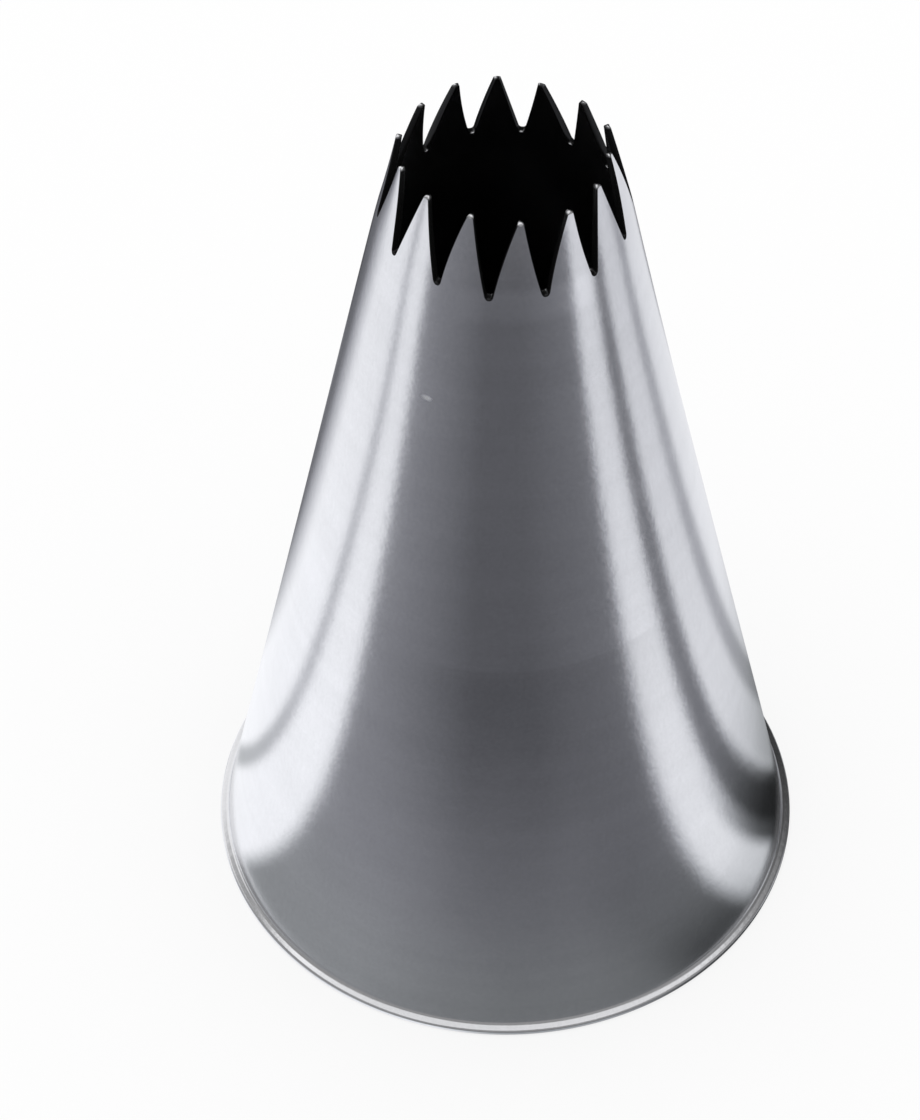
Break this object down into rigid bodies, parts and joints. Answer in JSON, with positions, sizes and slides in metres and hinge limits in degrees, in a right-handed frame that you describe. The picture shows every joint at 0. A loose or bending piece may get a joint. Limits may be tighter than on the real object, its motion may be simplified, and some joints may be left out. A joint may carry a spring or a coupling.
{
  "type": "piping nozzle",
  "caption": "Open star piping nozzle: a seamless stainless cone with a turned-out lip at its base and a crown of pointed teeth around its outlet.",
  "frame": {"origin": "centre of the lip's underside, on the nozzle's axis", "axes": "+Z along the nozzle's axis, from the lip to the toothed outlet; -Y faces the viewer and runs through one tooth"},
  "size_m": [0.033, 0.033, 0.05],
  "materials": {
    "stainless_steel": "satin drawn stainless, tumbled"
  },
  "bodies": {
    "root": {"nozzle": "stainless_steel"}
  },
  "joints": []
}
